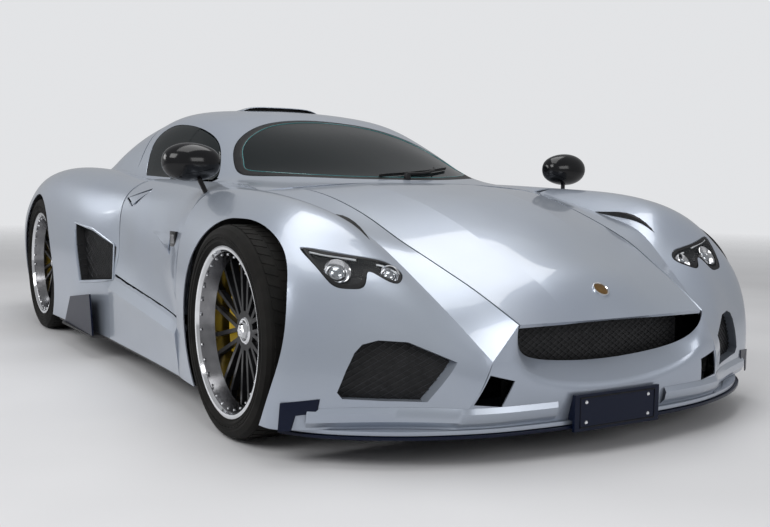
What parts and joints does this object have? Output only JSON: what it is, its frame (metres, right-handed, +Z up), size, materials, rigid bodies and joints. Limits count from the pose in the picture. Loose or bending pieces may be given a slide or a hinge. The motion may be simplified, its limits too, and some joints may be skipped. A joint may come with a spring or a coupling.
{
  "type": "mid-engined supercar",
  "caption": "Low two-seat mid-engined supercar with rear-hinged doors, opening bonnet and engine cover, steered front wheels and turning wheels.",
  "frame": {"origin": "on the ground under the middle of the body's overall length and width", "axes": "+X towards the nose, +Y to the car's left, +Z up"},
  "size_m": [4.271, 2.0388, 1.1389],
  "materials": {
    "paint": "metallic gloss",
    "carbon": "dark blue gloss",
    "glass": "tinted",
    "lamp": "clear",
    "tail_lamp": "gloss",
    "mesh": "matt",
    "tyre": "matt",
    "rim": "polished",
    "disc": "machined",
    "caliper": "gloss",
    "suspension": "satin",
    "chassis": "matt",
    "engine": "cast",
    "pipe": "brushed",
    "leather": "soft",
    "trim": "matt",
    "mirror_black": "gloss"
  },
  "bodies": {
    "body": {"floor_pan": "chassis", "front_splitter": "carbon", "front_bumper": "paint", "front_fenders": "paint", "cabin_frame": "paint", "windscreen": "glass", "quarter_glass": "glass", "rear_quarters": "paint", "sills": "paint", "side_winglets": "carbon", "rear_bumper": "paint", "diffuser": "carbon", "headlights": "lamp", "tail_lights": "tail_lamp", "grilles": "mesh", "front_ducts": "paint", "plate_holder": "carbon", "side_ducts": "mesh", "engine_block": "engine", "exhaust": "pipe", "seats": "leather", "dashboard": "trim", "steering_wheel": "trim", "rear_uprights": "suspension", "rear_calipers": "caliper", "front_suspension": "suspension", "rear_suspension": "suspension"},
    "bonnet": {"bonnet": "paint"},
    "engine_cover": {"engine_cover": "paint"},
    "door_left": {"door_left": "paint", "door_glass_left": "glass", "mirror_left": "mirror_black"},
    "door_right": {"door_right": "paint", "door_glass_right": "glass", "mirror_right": "mirror_black"},
    "steer_fl": {"knuckle_fl": "suspension", "caliper_fl": "caliper"},
    "steer_fr": {"knuckle_fr": "suspension", "caliper_fr": "caliper"},
    "wheel_fl": {"rim_fl": "rim", "tyre_fl": "tyre", "disc_fl": "disc"},
    "wheel_fr": {"rim_fr": "rim", "tyre_fr": "tyre", "disc_fr": "disc"},
    "wheel_rl": {"rim_rl": "rim", "tyre_rl": "tyre", "disc_rl": "disc"},
    "wheel_rr": {"rim_rr": "rim", "tyre_rr": "tyre", "disc_rr": "disc"}
  },
  "joints": [
    {"name": "steer_left", "type": "hinge", "parent": "body", "child": "steer_fl", "pos_m": [1.439, 0.797, 0.33], "axis": [0, 0, 1], "range_deg": [-19, 19]},
    {"name": "steer_right", "type": "hinge", "parent": "body", "child": "steer_fr", "pos_m": [1.439, -0.797, 0.33], "axis": [0, 0, 1], "range_deg": [-19, 19]},
    {"name": "wheel_fl_spin", "type": "hinge", "parent": "steer_fl", "child": "wheel_fl", "pos_m": [1.439, 0.857, 0.33], "axis": [0, 1, 0], "continuous": true},
    {"name": "wheel_fr_spin", "type": "hinge", "parent": "steer_fr", "child": "wheel_fr", "pos_m": [1.439, -0.857, 0.33], "axis": [0, 1, 0], "continuous": true},
    {"name": "wheel_rl_spin", "type": "hinge", "parent": "body", "child": "wheel_rl", "pos_m": [-1.129, 0.838, 0.344], "axis": [0, 1, 0], "continuous": true},
    {"name": "wheel_rr_spin", "type": "hinge", "parent": "body", "child": "wheel_rr", "pos_m": [-1.129, -0.838, 0.344], "axis": [0, 1, 0], "continuous": true},
    {"name": "door_left_hinge", "type": "hinge", "parent": "body", "child": "door_left", "pos_m": [0.03516, 0.90168, 0.37979], "axis": [-0.1508, -0.0862, 0.9848], "range_deg": [0, 35]},
    {"name": "door_right_hinge", "type": "hinge", "parent": "body", "child": "door_right", "pos_m": [0.03516, -0.90168, 0.37979], "axis": [0.1508, -0.0862, -0.9848], "range_deg": [0, 35]},
    {"name": "bonnet_hinge", "type": "hinge", "parent": "body", "child": "bonnet", "pos_m": [1.02464, 0, 0.75703], "axis": [0, -1, 0], "range_deg": [0, 60]},
    {"name": "engine_cover_hinge", "type": "hinge", "parent": "body", "child": "engine_cover", "pos_m": [-0.5306, 0, 1.09629], "axis": [0, 1, 0], "range_deg": [0, 50]}
  ],
  "couplings": [
    {"joint": "steer_right", "follows": "steer_left", "ratio": 1}
  ]
}
